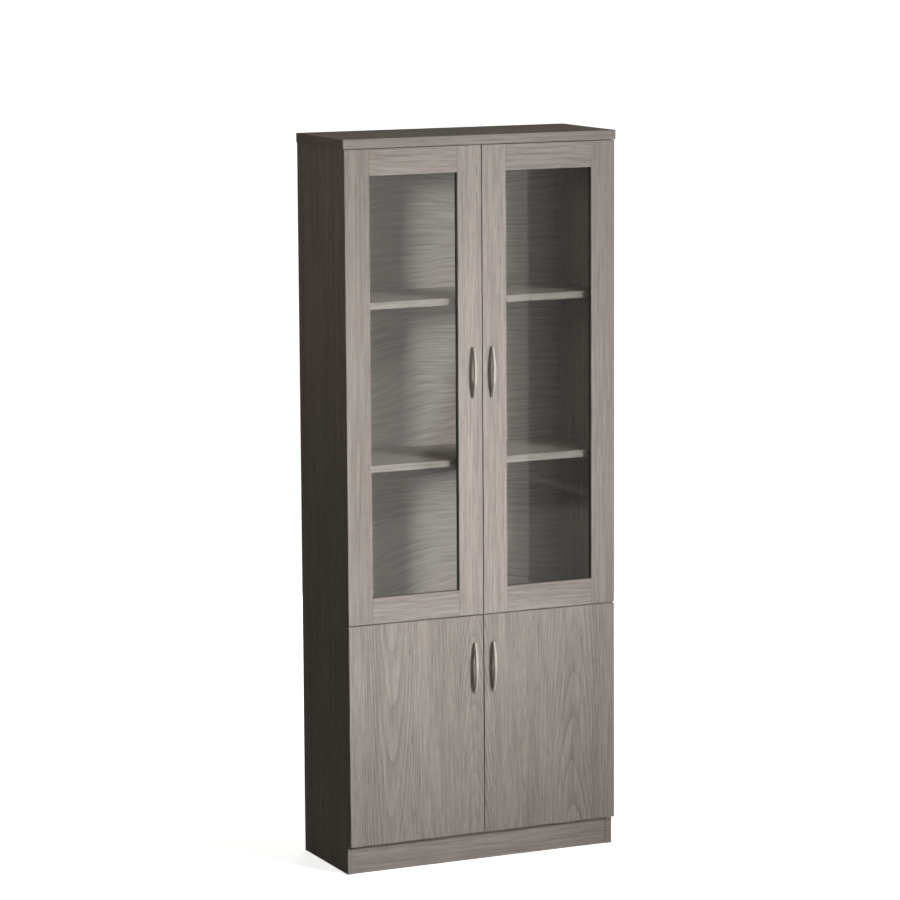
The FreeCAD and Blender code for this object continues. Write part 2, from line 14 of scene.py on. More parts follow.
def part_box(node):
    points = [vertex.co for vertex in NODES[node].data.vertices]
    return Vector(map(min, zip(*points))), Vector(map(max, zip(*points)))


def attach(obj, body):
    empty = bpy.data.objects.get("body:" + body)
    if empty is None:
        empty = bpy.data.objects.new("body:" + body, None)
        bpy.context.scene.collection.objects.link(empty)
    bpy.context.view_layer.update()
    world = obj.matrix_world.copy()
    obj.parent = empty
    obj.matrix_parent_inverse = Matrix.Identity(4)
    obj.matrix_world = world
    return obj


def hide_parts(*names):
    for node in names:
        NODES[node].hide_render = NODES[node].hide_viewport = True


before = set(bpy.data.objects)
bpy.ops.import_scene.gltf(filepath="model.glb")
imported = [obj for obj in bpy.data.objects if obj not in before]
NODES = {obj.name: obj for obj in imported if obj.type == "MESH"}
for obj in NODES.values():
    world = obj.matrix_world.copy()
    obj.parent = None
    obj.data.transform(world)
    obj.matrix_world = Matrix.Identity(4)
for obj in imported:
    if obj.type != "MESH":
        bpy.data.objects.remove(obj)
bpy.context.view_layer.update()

MM = 0.001
SIDES = {"left": -1.0, "right": 1.0}
HINGES_ON_DOOR = {"upper": 3, "lower": 2}
HINGE_BOARD = {"upper": "upper_right_hinge_stile", "lower": "lower_right_slab"}


def low_corner(node):
    """The corner of a node's box with the least X, Y and Z."""
    return Vector(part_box(node)[0])


def high_corner(node):
    """The corner of a node's box with the greatest X, Y and Z."""
    return Vector(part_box(node)[1])


# Places that the pieces share
CARCASS_FRONT_Y = low_corner("side_panel_left").y
BACK_PANEL_FRONT_Y = low_corner("back_panel_upper").y
BACK_PANEL_REAR_Y = high_corner("back_panel_upper").y
REAR_Y = high_corner("side_panel_left").y
INNER_X = low_corner("side_panel_right").x
DOOR_FACE_Y = low_corner("lower_left_slab").y
DOOR_BACK_Y = high_corner("lower_left_slab").y
DOOR_OUTER_X = high_corner("lower_right_slab").x
RAIL_ENDS_X = (low_corner("upper_right_top_rail").x, high_corner("upper_right_top_rail").x)


# ---- Shader maths ----


class Value:
    """A number on a socket. An operator adds the Math node that it stands for."""

    def __init__(self, shader, socket):
        self.shader = shader
        self.socket = socket

    def math(self, operation, *others):
        sockets = dict(enumerate((self,) + others))
        return self.shader.number("Math", {"operation": operation}, sockets)

    def __add__(self, other):
        return self.math("ADD", other)

    def __sub__(self, other):
        return self.math("SUBTRACT", other)

    def __mul__(self, other):
        return self.math("MULTIPLY", other)

    def __truediv__(self, other):
        return self.math("DIVIDE", other)

    def __pow__(self, other):
        return self.math("POWER", other)

    def __rsub__(self, other):
        return (self * -1.0) + other

    __radd__ = __add__

    def over(self, low, high):
        """0 at low, 1 at high and smooth between, also where high is under low."""
        return self.shader.number("MapRange", {"interpolation_type": "SMOOTHSTEP"}, {
            "Value": self, "From Min": low, "From Max": high,
        })


class Shader:
    """The node tree of a material or of the world, under construction."""

    def __init__(self, holder):
        holder.use_nodes = True
        self.holder = holder
        self.tree = holder.node_tree
        self.tree.nodes.clear()

    def node(self, kind, settings=None, sockets=None):
        """Add a node, with its settings first and then its sockets' values or links."""
        made = self.tree.nodes.new("ShaderNode" + kind)
        for key, value in (settings or {}).items():
            setattr(made, key, value)
        for key, value in (sockets or {}).items():
            if isinstance(value, (Value, bpy.types.NodeSocket)):
                source = value.socket if isinstance(value, Value) else value
                self.tree.links.new(source, made.inputs[key])
            else:
                made.inputs[key].default_value = value
        return made

    def number(self, kind, settings=None, sockets=None, output=0):
        """Add a node and give one of its outputs as a Value."""
        return Value(self, self.node(kind, settings, sockets).outputs[output])

    def place(self):
        """X, Y and Z on the piece."""
        source = self.node("TexCoord").outputs["Object"]
        parts = self.node("SeparateXYZ", sockets={"Vector": source})
        return [Value(self, parts.outputs[axis]) for axis in "XYZ"]

    def noise(self, x, y, z, detail=2.0, roughness=0.5):
        """Smooth noise about 0.5, with one wave per unit. A plain number for z picks a layer."""
        point = self.node("CombineXYZ", sockets={"X": x, "Y": y, "Z": z}).outputs[0]
        return self.number("TexNoise", sockets={
            "Vector": point, "Scale": 1.0, "Detail": detail, "Roughness": roughness,
        })

    def blend(self, factor, first, second):
        """A colour between two, each a colour or a socket."""
        made = self.node("Mix", {"data_type": "RGBA"}, {"Factor": factor})
        for index, colour in ((6, first), (7, second)):
            if isinstance(colour, bpy.types.NodeSocket):
                self.tree.links.new(colour, made.inputs[index])
            else:
                made.inputs[index].default_value = tuple(colour) + (1.0,)
        return made.outputs[2]

    def bump(self, height, distance, strength=0.5):
        """A normal that is bent by a height."""
        return self.node("Bump", sockets={
            "Height": height, "Distance": distance, "Strength": strength,
        }).outputs[0]

    def seen_by(self, *kinds):
        """1 for rays of these kinds and 0 for the rest."""
        paths = self.node("LightPath")
        total = Value(self, paths.outputs[f"Is {kinds[0]} Ray"])
        for kind in kinds[1:]:
            total = total.math("MAXIMUM", Value(self, paths.outputs[f"Is {kind} Ray"]))
        return total

    def finish(self, surface, kind="OutputMaterial"):
        """Close the tree with its surface and give back what holds it."""
        self.node(kind, sockets={"Surface": surface})
        return self.holder

    def principled(self, **sockets):
        """Close the material with one Principled shader. A socket's spaces are written as _."""
        named = {key.replace("_", " "): value for key, value in sockets.items()}
        return self.finish(self.node("BsdfPrincipled", sockets=named).outputs[0])


def new_material(name):
    return Shader(bpy.data.materials.new(name))


def srgb(red, green, blue):
    """A linear colour from its 8-bit screen values."""
    def linear(value):
        value /= 255.0
        return value / 12.92 if value <= 0.04045 else ((value + 0.055) / 1.055) ** 2.4
    return tuple(linear(value) for value in (red, green, blue))


def darker(colour, share):
    """A colour times a share, which may also be above 1."""
    return tuple(part * share for part in colour)


# ---- Oak board ----

OAK_PALE = srgb(186, 177, 171)
OAK_DARK = srgb(146, 137, 131)
OAK_LINE = srgb(118, 109, 103)
OAK_PORE = srgb(92, 84, 79)
CHIPBOARD = srgb(176, 150, 116)
CHIP_FLAKE = srgb(120, 94, 66)
HARDBOARD = srgb(148, 118, 90)
CHIPS_PER_METRE = 260.0
BACK_SHADE = 0.85
RING_SPACING = 13.0 * MM
SLAB_SPACING = 5.0 * MM
JOINT_WIDTH = 1.6 * MM
JOINT_DEPTH = 0.75
RING_SLANT = 0.73
WOOD_BUMP = 0.1 * MM
WOOD_GLOSS = 0.25
SEED_ALONG = 3.1
PRINT_LINE_DEPTH = 0.38
ARCH_BLEND = 0.02

# Cones of rings on the lower doors, each as (centre, depth, taper)
LEFT_ARCHES = ((-0.272, 0.08, -0.033), (-0.03, 0.05, 0.08))
RIGHT_ARCHES = ((0.272, 0.11, 0.04), (-0.01, 0.05, 0.08))


def straight_grain(shader, across, along):
    """Growth lines that run straight, drift by a few millimetres and crowd in places."""
    drift = shader.noise(across * 8.0, along * 1.2, 0.0) - 0.5
    crowd = shader.noise(across * 24.0, along * 0.3, 3.0, detail=1.0) - 0.5
    return across + drift * 0.022 + crowd * 0.024


def rail_grain(shader, across, along):
    """Growth lines that wave a little and pinch together in places."""
    wave = shader.noise(across * 9.0, along * 4.5, 2.0) - 0.5
    return across * 0.9 + along * 0.03 + wave * 0.034


def back_grain(shader, across, along):
    """Long lines that rise to the right in the left half and level out, with slow waves."""
    wave = shader.noise(across * 2.2, along * 1.8, 5.0, detail=1.0) - 0.5
    ripple = shader.noise(across * 7.0, along * 5.0, 6.0) - 0.5
    return across * 0.55 - along * 0.06 + along * along * 0.15 + wave * 0.09 + ripple * 0.009


def arched_grain(arches):
    """Nested arches of a board cut across the rings.

    Each of arches is (centre, depth, taper) for a cone of rings whose heart lies depth behind the
    face. A growth line lies where sqrt((across - centre)^2 + depth^2) + taper * along is a whole
    number of spacings. The arches point up where taper is above 0. The nearer centre rules.
    Slow noise sways each cone, middle noise bends them all, and fine noise shakes the lines.
    """
    def lines(shader, across, along):
        bend = shader.noise(across * 7.0, along * 2.6, 8.0) - 0.5
        shake = shader.noise(across * 40.0, along * 6.0, 9.0) - 0.5
        nearest = rings = None
        for centre, depth, taper in arches:
            sway = shader.noise(along * 2.2, centre * 50.0, 0.0, detail=1.0) - 0.5
            off = across - centre + sway * 0.03 + bend * 0.016
            level = (off * off + depth * depth) ** 0.5 - depth + along * taper
            distance = off.math("ABSOLUTE")
            if nearest is None:
                nearest, rings = distance, level
            else:
                swap = (nearest - distance).over(-ARCH_BLEND, ARCH_BLEND)
                rings = rings * (1.0 - swap) + level * swap
                nearest = nearest.math("MINIMUM", distance)
        return rings + shake * 0.0016
    return lines


def oak(name, grain, lines, line_depth, pore_depth, seed=0.0, spacing=RING_SPACING, shade=1.0,
        raw_rear=None, joints_x=()):
    """Grey oak board with fibres along X or Z.

    lines(shader, across, along) is the distance across the growth lines in metres. Each line
    starts dark, fades over its spacing and breaks up into pores. line_depth and pore_depth are
    the shares of the dark colours, seed moves the figure, and shade scales the board's colours.
    Its lower value on the hinge stiles and the top is painted shade, and its higher value on
    the other stiles is painted light.
    Behind the place raw_rear the board's chips show. joints_x are the distances from the middle
    at which a rail meets stiles. A fibre has a width, a length and a layer of noise of its own.
    """
    shader = new_material(name)
    x, y, z = shader.place()
    along, across = (z, x) if grain == "Z" else (x, z)
    across = across + (y - DOOR_FACE_Y) * RING_SLANT + seed
    along = along + seed * SEED_ALONG

    def fibre(width, length, layer, detail=2.0, roughness=0.5):
        return shader.noise(across / width, y / width + layer, along / length, detail, roughness)

    phase = (lines(shader, across, along) / spacing).math("FRACT")
    patch = fibre(50.0 * MM, 500.0 * MM, 1.0).over(0.32, 0.68)
    ring = (1.0 - phase) ** 2.2 * (patch * 0.7 + 0.3)
    bands = fibre(45.0 * MM, 1300.0 * MM, 2.0) - 0.5
    streaks = fibre(6.5 * MM, 200.0 * MM, 3.0, detail=3.0, roughness=0.6) - 0.5
    threads = fibre(2.8 * MM, 70.0 * MM, 4.0, roughness=0.6) - 0.5
    dashes = fibre(3.6 * MM, 34.0 * MM, 5.0, detail=1.0).over(0.57, 0.72)
    pores = fibre(1.4 * MM, 12.0 * MM, 6.0, detail=1.0).over(0.60, 0.74)

    tone = (bands * 0.9 + streaks * 1.6 + threads * 1.1 + 0.52).over(-0.25, 1.25)
    colour = shader.blend(tone, darker(OAK_DARK, shade), darker(OAK_PALE, shade))
    colour = shader.blend(ring * line_depth, colour, darker(OAK_LINE, shade))
    marks = (dashes + pores * 0.7) * (ring * 0.85 + 0.3)
    colour = shader.blend(marks * pore_depth, colour, OAK_PORE)
    for joint_x in joints_x:
        gap = (x.math("ABSOLUTE") - joint_x).math("ABSOLUTE")
        joint = gap.over(JOINT_WIDTH, 0.0) * JOINT_DEPTH
        colour = shader.blend(joint, colour, darker(OAK_PORE, 0.5))
    if raw_rear:
        chips = shader.noise(*(axis * CHIPS_PER_METRE for axis in (x, y, z))).over(0.42, 0.6)
        raw = shader.blend(chips, CHIP_FLAKE, CHIPBOARD)
        colour = shader.blend(y.over(raw_rear - 0.3 * MM, raw_rear - 0.1 * MM), colour, raw)
    return shader.principled(
        Base_Color=colour, Roughness=0.56 + pores * 0.1 + streaks * 0.1,
        Normal=shader.bump(threads * 0.4 - pores - dashes * 0.6, WOOD_BUMP),
        Specular_IOR_Level=WOOD_GLOSS,
    )


def printed_back(name):
    """A thin back: printed oak in front, whose fibres follow the rings, and hardboard behind."""
    shader = new_material(name)
    x, y, z = shader.place()
    rings = back_grain(shader, z, x)

    def fibre(width, length, layer, detail=2.0):
        return shader.noise(rings / width, layer, x / length, detail, roughness=0.55)

    phase = (rings / RING_SPACING).math("FRACT")
    patch = fibre(27.5 * MM, 160.0 * MM, 1.0).over(0.36, 0.62)
    ring = (1.0 - phase) ** 2.0 * (patch * 0.85 + 0.15)
    streaks = fibre(2.64 * MM, 140.0 * MM, 2.0, detail=3.0) - 0.5
    threads = fibre(1.43 * MM, 70.0 * MM, 3.0) - 0.5
    tone = (streaks * 2.4 + threads * 1.4 + 0.55).over(-0.2, 1.2)
    colour = shader.blend(tone, darker(OAK_DARK, BACK_SHADE), darker(OAK_PALE, BACK_SHADE))
    colour = shader.blend(ring * PRINT_LINE_DEPTH, colour, darker(OAK_PORE, BACK_SHADE))
    felt = shader.noise(x * 90.0, 0.0, z * 90.0, detail=4.0, roughness=0.6)
    hardboard = shader.blend(felt, darker(HARDBOARD, 0.75), darker(HARDBOARD, 1.2))
    behind = y.over(BACK_PANEL_REAR_Y - 0.4 * MM, BACK_PANEL_REAR_Y - 0.2 * MM)
    return shader.principled(
        Base_Color=shader.blend(behind, colour, hardboard), Roughness=0.55 + streaks * 0.1,
        Normal=shader.bump(threads + felt * behind, WOOD_BUMP), Specular_IOR_Level=WOOD_GLOSS,
    )


# ---- Glass, metal and plastic ----

GLASS_IOR = 1.5
GLASS_TINT = (0.97, 0.98, 0.97, 1.0)
GLASS_ROUGHNESS = 0.02
PANE_FACES = 2.0


def clear_glass(name):
    """A thin pane: what is behind it, under the mirror of both of its faces."""
    shader = new_material(name)
    mirror = shader.number("Fresnel", sockets={"IOR": GLASS_IOR})
    behind = shader.number("NewGeometry", output="Backfacing")
    through = shader.node("BsdfTransparent", sockets={"Color": GLASS_TINT}).outputs[0]
    gloss = shader.node("BsdfGlossy", sockets={"Roughness": GLASS_ROUGHNESS}).outputs[0]
    return shader.finish(shader.node("MixShader", sockets={
        "Fac": (mirror * PANE_FACES) * (1.0 - behind), 1: through, 2: gloss,
    }).outputs[0])


def brushed(name, colour, roughness, stroke, depth):
    """Metal with fine strokes: stroke is their size along X, Y and Z, depth their height."""
    shader = new_material(name)
    x, y, z = shader.place()
    lines = shader.noise(x / stroke[0], y / stroke[1], z / stroke[2], roughness=0.6)
    cloud = shader.noise(x * 60.0, y * 60.0, z * 25.0)
    return shader.principled(
        Base_Color=shader.blend(cloud, darker(colour, 0.9), colour), Metallic=1.0,
        Roughness=roughness + (lines - 0.5) * 0.12 + (cloud - 0.5) * 0.05,
        Normal=shader.bump(lines, depth),
    )


def moulded(name, colour, roughness):
    """Plastic or rubber with a fine moulded texture."""
    shader = new_material(name)
    x, y, z = shader.place()
    skin = shader.noise(x * 1600.0, y * 1600.0, z * 1600.0, detail=1.0)
    cloud = shader.noise(x * 40.0, y * 40.0, z * 40.0)
    return shader.principled(
        Base_Color=shader.blend(cloud, darker(colour, 0.85), colour),
        Roughness=roughness + (skin - 0.5) * 0.15,
        Normal=shader.bump(skin, 0.04 * MM, strength=0.6),
    )


# Painted light and shade: the stiles are one oak in two copies, raised as painted light on the
# meeting stiles and lowered as painted shade on the hinge stiles, where the light falls off
stile_oak = oak("stile_oak", "Z", straight_grain, line_depth=0.14, pore_depth=0.3, seed=0.11,
                shade=1.03)
hinge_stile_shaded_oak = oak("hinge_stile_shaded_oak", "Z", straight_grain, line_depth=0.14, pore_depth=0.3,
                      seed=0.11, shade=0.9)
rail_oak = oak("rail_oak", "X", rail_grain, line_depth=0.42, pore_depth=0.4, seed=0.31,
               shade=0.95, joints_x=RAIL_ENDS_X)
left_slab_oak = oak("left_slab_oak", "Z", arched_grain(LEFT_ARCHES), line_depth=0.66,
                    pore_depth=0.5, spacing=SLAB_SPACING)
right_slab_oak = oak("right_slab_oak", "Z", arched_grain(RIGHT_ARCHES), line_depth=0.66,
                     pore_depth=0.5, spacing=SLAB_SPACING, shade=0.96)
side_oak = oak("side_oak", "Z", straight_grain, line_depth=0.6, pore_depth=0.8, seed=0.83,
               raw_rear=REAR_Y)
# Painted shade: the top's oak is darkened for the dimmer light on the cabinet's top
top_shaded_oak = oak("top_shaded_oak", "X", straight_grain, line_depth=0.2, pore_depth=0.3, seed=0.27,
              shade=0.85, raw_rear=REAR_Y)
panel_oak = oak("panel_oak", "X", straight_grain, line_depth=0.2, pore_depth=0.3, seed=0.13)
back_oak = printed_back("back_oak")
pane_glass = clear_glass("pane_glass")
nickel = brushed("satin_nickel", (0.62, 0.60, 0.57), roughness=0.22,
                 stroke=(0.4 * MM, 0.4 * MM, 20.0 * MM), depth=0.02 * MM)
steel = brushed("hinge_steel", (0.55, 0.55, 0.54), roughness=0.2,
                stroke=(2.0 * MM, 2.0 * MM, 2.0 * MM), depth=0.004 * MM)
zinc = brushed("fastener_zinc", (0.45, 0.45, 0.44), roughness=0.35,
               stroke=(1.0 * MM, 1.0 * MM, 1.0 * MM), depth=0.006 * MM)
bead_brown = moulded("bead_brown", srgb(84, 78, 74), roughness=0.5)
clear_rubber = moulded("clear_rubber", srgb(200, 200, 196), roughness=0.5)

# The first word that is in a node's name gives its finish
FINISHES = (
    ("screws", zinc), ("pins", zinc), ("housings", zinc), ("bolts", zinc),
    ("bumpers", clear_rubber),
    ("back_panel", back_oak), ("side_panel", side_oak), ("top_panel", top_shaded_oak),
    ("hinge_stile", hinge_stile_shaded_oak), ("stile", stile_oak), ("rail", rail_oak),
    ("left_slab", left_slab_oak), ("right_slab", right_slab_oak),
    ("shelf", panel_oak), ("panel", panel_oak), ("plinth", panel_oak), ("beads", bead_brown),
    ("handle", nickel), ("glass", pane_glass), ("hinge", steel), ("links", steel),
)

for node in NODES:
    mesh = NODES[node].data
    mesh.materials.clear()
    mesh.materials.append(next(finish for word, finish in FINISHES if word in node))


# ---- Surfaces ----

MERGE_DISTANCE = 0.0005 * MM
SHARP_ANGLE = math.radians(38.0)
SOFT_EDGE = 0.2 * MM
CROSS_ARM = 0.17
CROSS_ARM_SLOPE = 0.05
CROSS_REACH = 0.62
CROSS_REACH_SLOPE = 0.08
CROSS_DEPTH = 0.75


def add_piece(name, body, material, grids, replaced=()):
    """One smooth mesh from grids of rows x columns x 3 points, each closed round its columns."""
    points, quads, count = [], [], 0
    for grid in grids:
        rows, columns = grid.shape[:2]
        index = np.arange(rows * columns).reshape(rows, columns) + count
        beside = np.roll(index, -1, axis=1)
        corners = np.stack([index[:-1], beside[:-1], beside[1:], index[1:]], axis=-1)
        quads.append(corners.reshape(-1, 4))
        points.append(grid.reshape(-1, 3))
        count += rows * columns
    mesh = bpy.data.meshes.new(name)
    mesh.from_pydata(np.concatenate(points).tolist(), [], np.concatenate(quads).tolist())
    work = bmesh.new()
    work.from_mesh(mesh)
    bmesh.ops.remove_doubles(work, verts=work.verts, dist=MERGE_DISTANCE)
    bmesh.ops.recalc_face_normals(work, faces=work.faces)
    work.to_mesh(mesh)
    work.free()
    mesh.shade_smooth()
    mesh.set_sharp_from_angle(angle=SHARP_ANGLE)
    mesh.materials.append(material)
    made = bpy.data.objects.new(name, mesh)
    bpy.context.scene.collection.objects.link(made)
    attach(made, body)
    if replaced:
        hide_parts(*replaced)


def mirrored(grids, side):
    """Grids made for the right side, turned over X for the left one."""
    return [grid * np.array((side, 1.0, 1.0)) for grid in grids]


def both_sides(grids):
    """Grids made for the right side, and the same on the left."""
    return grids + mirrored(grids, -1.0)


def shifted(grids, heights):
    """The same grids again at each height."""
    return [grid + np.array((0.0, 0.0, height)) for height in heights for grid in grids]


def square_to(axis):
    """An axis as an array, with two directions square to it and to each other."""
    axis = np.array(axis, float)
    first = np.array((0.0, 0.0, 1.0)) if abs(axis[2]) < 0.5 else np.array((1.0, 0.0, 0.0))
    return axis, first, np.cross(axis, first)


def turned(profile, centre, axis, columns):
    """A surface of revolution: each (reach, radius) is a ring at centre + reach * axis."""
    reach, radius = np.array(profile, float).T
    axis, first, second = square_to(axis)
    angle = np.linspace(0.0, math.tau, columns, endpoint=False)[:, None]
    ring = np.cos(angle) * first + np.sin(angle) * second
    return np.array(centre) + reach[:, None, None] * axis + radius[:, None, None] * ring


def rod(centre, axis, radius, length, soften=SOFT_EDGE):
    """A turned rod with softened ends, from centre along axis."""
    return turned([(0.0, 0.0), (0.0, radius - soften), (soften, radius), (length - soften, radius),
                   (length, radius - soften), (length, 0.0)], centre, axis, columns=24)


def screw_head(centre, axis, radius, height, rows=15, columns=48):
    """A pan head with a cross recess.

    At the share s of the radius the rise is height * (1 - s^4)^0.5. It sinks by CROSS_DEPTH of
    the height inside the cross, whose arms are CROSS_ARM wide to each side and CROSS_REACH long,
    as shares of the radius. The first ring closes the underside.
    """
    axis, first, second = square_to(axis)
    share = np.concatenate([[0.0], np.linspace(1.0, 0.0, rows)])[:, None]
    angle = np.linspace(0.0, math.tau, columns, endpoint=False)[None, :]
    u, v = share * np.cos(angle), share * np.sin(angle)
    narrow, wide = np.minimum(abs(u), abs(v)), np.maximum(abs(u), abs(v))
    cross = np.clip((CROSS_ARM - narrow) / CROSS_ARM_SLOPE, 0.0, 1.0)
    cross = cross * np.clip((CROSS_REACH - wide) / CROSS_REACH_SLOPE, 0.0, 1.0)
    rise = height * (np.sqrt(1.0 - share ** 4) - cross * CROSS_DEPTH)
    rise[0] = 0.0
    flat = u[..., None] * first + v[..., None] * second
    return np.array(centre) + flat * radius + rise[..., None] * axis


def soft_block(low, high, power=8.0, rows=17, columns=32):
    """A box with soft edges.

    In the direction (x, y, z) it reaches 1 / (|x|^n + |y|^n + |z|^n)^(1 / n) of its half, where
    n is the power.
    """
    low, high = np.array(low, float), np.array(high, float)
    tilt = np.linspace(-math.pi / 2, math.pi / 2, rows)[:, None]
    turn = np.linspace(0.0, math.tau, columns, endpoint=False)[None, :] + math.pi / columns
    way = np.stack([np.cos(tilt) * np.cos(turn), np.cos(tilt) * np.sin(turn),
                    np.sin(tilt) + turn * 0.0], axis=-1)
    way = way / (np.abs(way) ** power).sum(axis=-1, keepdims=True) ** (1.0 / power)
    return (low + high) / 2 + way * (high - low) / 2


def arc_reach(along, half, end, middle):
    """Height of the arc that is at end where |along| = half and at middle where along = 0."""
    rise = middle - end
    radius = (half * half + rise * rise) / (2.0 * rise)
    return middle - radius + np.sqrt(np.maximum(radius * radius - along * along, 0.0))


# ---- Bow handles ----

HANDLE_FOOT = 11.0 * MM
HANDLE_SHOULDER = 6.5 * MM
HANDLE_BAR = 4.8 * MM
HANDLE_END_HALF = 4.4 * MM
HANDLE_MIDDLE_HALF = 5.3 * MM
HANDLE_NOSE = 1.4 * MM
HANDLE_SCREW_HEAD = 4.0 * MM
HANDLE_SCREW_RADIUS = 2.0 * MM


def bow_handle(row, side, samples=121, columns=40):
    """A bow of even curve on two feet, between an outer and an inner arc.

    At the height z its section is the oval across = width * |cos u|^0.7, out = thickness *
    |sin u|^0.8. The width and the reach of both faces are arcs of z, and the last stretch shrinks
    by (1 - t^4)^(1/4) to close the ends.
    """
    door = f"{row}_{side}"
    node = f"{door}_handle"
    low, high = low_corner(node), high_corner(node)
    middle, half = (low + high) / 2, (high.z - low.z) / 2
    reach = DOOR_FACE_Y - low.y
    z = half * np.sin(np.linspace(-math.pi / 2, math.pi / 2, samples))[:, None]
    u = np.linspace(0.0, math.tau, columns, endpoint=False)[None, :]
    outer = arc_reach(z, half, HANDLE_SHOULDER, reach)
    inner = np.maximum(arc_reach(z, half - HANDLE_FOOT, 0.0, reach - HANDLE_BAR), 0.0)
    inner = np.where(np.abs(z) < half - HANDLE_FOOT, inner, 0.0)
    width = arc_reach(z, half, HANDLE_END_HALF, HANDLE_MIDDLE_HALF)
    close = np.clip((np.abs(z) - half + HANDLE_NOSE) / HANDLE_NOSE, 0.0, 1.0)
    shrink = (1.0 - close ** 4) ** 0.25
    across = width * np.sign(np.cos(u)) * np.abs(np.cos(u)) ** 0.7
    out = (outer - inner) / 2 * np.sign(np.sin(u)) * np.abs(np.sin(u)) ** 0.8
    grid = np.stack([middle.x + across * shrink, DOOR_FACE_Y - (outer + inner) / 2 - out * shrink,
                     middle.z + z + u * 0.0], axis=-1)
    add_piece(f"{door}_bow_handle", f"{door}_door", nickel, [grid], [node])


def handle_fixings(row, side):
    """The machine screws that hold a handle, with their heads on the door's back."""
    door = f"{row}_{side}"
    node = f"{door}_handle_screws"
    low, high = low_corner(node), high_corner(node)
    grids = []
    for z in (low.z + HANDLE_SCREW_HEAD, high.z - HANDLE_SCREW_HEAD):
        seat = ((low.x + high.x) / 2, DOOR_BACK_Y, z)
        grids.append(screw_head(seat, (0, 1, 0), HANDLE_SCREW_HEAD, high.y - DOOR_BACK_Y))
        grids.append(rod(seat, (0, -1, 0), HANDLE_SCREW_RADIUS, DOOR_BACK_Y - low.y))
    add_piece(f"{door}_handle_fixings", f"{door}_door", zinc, grids, [node])


# ---- Concealed hinges, made for the right side at height 0 ----

HINGE_END_DISTANCE = 100.0 * MM
CUP_EDGE = 3.0 * MM
CUP_RADIUS = 17.5 * MM
CUP_WALL = 0.8 * MM
CUP_DEPTH = 12.5 * MM
CUP_ROUND = 2.5 * MM
FLANGE = 0.8 * MM
EAR_RADIUS = 4.5 * MM
EAR_HEIGHT = 24.0 * MM
EAR_INSET = 6.0 * MM
HINGE_SCREW_RADIUS = 3.4 * MM
HINGE_SCREW_RISE = 1.4 * MM
PIN_RADIUS = 1.2 * MM
PIN_PLAY = 0.1 * MM
PIN_RIVET = 0.4 * MM
EYE_RADIUS = 2.4 * MM
LINK_HALF_WIDTH = 1.2 * MM
LINK_LAYER = 4.6 * MM
LINK_PLAY = 0.4 * MM
LINK_BEND = 1.5 * MM
CHEEK = 1.2 * MM
CHEEK_INNER = LINK_LAYER + 1.5 * LINK_PLAY
PLATE_WING = 1.8 * MM
PLATE_SCREW_HEIGHT = 16.0 * MM
PLATE_MIDDLE = 37.0 * MM
ARM_TOP = 9.2 * MM
ARM_SCREW_RADIUS = 3.0 * MM
ARM_SCREW_RISE = 1.1 * MM
ARM_SCREWS = (42.0 * MM, 56.0 * MM)
CUP_MIDDLE_X = DOOR_OUTER_X - CUP_EDGE - CUP_RADIUS


def by_arm(inward, back):
    """A place in plan, from the side panel's inner face and the carcass front in millimetres."""
    return np.array((INNER_X - inward * MM, CARCASS_FRONT_Y + back * MM))


def in_cup(inward, forward):
    """A place in plan, from the door's hinge edge and its back in millimetres."""
    return np.array((DOOR_OUTER_X - inward * MM, DOOR_BACK_Y - forward * MM))


# The corners of each link in plan, from its pivot on the arm to its pin in the cup
SHORT_LINK = [by_arm(8.13, 2.01), in_cup(21.8, 9.9), in_cup(14.6, 9.9), in_cup(10.13, 4.5)]
LONG_LINK = [by_arm(18.98, 22.92), by_arm(10.8, 0.6), in_cup(24.6, 0.0), in_cup(9.15, 1.2)]


def hinge_heights(row):
    """The hinges' middles, evenly between the outermost two."""
    board = HINGE_BOARD[row]
    return np.linspace(low_corner(board).z + HINGE_END_DISTANCE,
                       high_corner(board).z - HINGE_END_DISTANCE, HINGES_ON_DOOR[row])


def bent_link(corners, base, samples=81, columns=24):
    """A flat bar bent along its corners, with an eye at each end.

    The line is the corners joined straight, sampled evenly and averaged over LINK_BEND so that
    the bends are round. At each of its points the section is the oblong |across|^6 + |up|^6 = 1.
    """
    corners = np.array(corners)
    steps = np.linalg.norm(np.diff(corners, axis=0), axis=1)
    reach = np.concatenate([[0.0], np.cumsum(steps)])
    even = np.linspace(0.0, reach[-1], samples)
    line = np.stack([np.interp(even, reach, corners[:, axis]) for axis in (0, 1)], axis=-1)
    side = int(round(LINK_BEND / 2 / even[1]))
    padded = np.pad(line, ((side, side), (0, 0)), mode="edge")
    kernel = np.ones(2 * side + 1) / (2 * side + 1)
    line = np.stack([np.convolve(padded[:, axis], kernel, "valid") for axis in (0, 1)], axis=-1)
    ahead = np.gradient(line, axis=0)
    ahead = ahead / np.linalg.norm(ahead, axis=1, keepdims=True)
    u = np.linspace(0.0, math.tau, columns, endpoint=False)
    across = np.sign(np.cos(u)) * np.abs(np.cos(u)) ** (1 / 3) * LINK_HALF_WIDTH
    up = np.sign(np.sin(u)) * np.abs(np.sin(u)) ** (1 / 3) * LINK_LAYER / 2
    x = line[:, :1] - ahead[:, 1:] * across
    y = line[:, 1:] + ahead[:, :1] * across
    bar = np.stack([x, y, np.broadcast_to(base + LINK_LAYER / 2 + up, x.shape)], axis=-1)
    ends = [end.mean(axis=1, keepdims=True).repeat(columns, axis=1) for end in (bar[:1], bar[-1:])]
    grids = [np.concatenate([ends[0], bar, ends[1]])]
    hole = PIN_RADIUS + PIN_PLAY
    profile = [(0.0, hole), (0.0, EYE_RADIUS - SOFT_EDGE), (SOFT_EDGE, EYE_RADIUS),
               (LINK_LAYER - SOFT_EDGE, EYE_RADIUS), (LINK_LAYER, EYE_RADIUS - SOFT_EDGE),
               (LINK_LAYER, hole), (0.0, hole)]
    for corner in (corners[0], corners[-1]):
        grids.append(turned(profile, (corner[0], corner[1], base), (0, 0, 1), columns))
    return grids


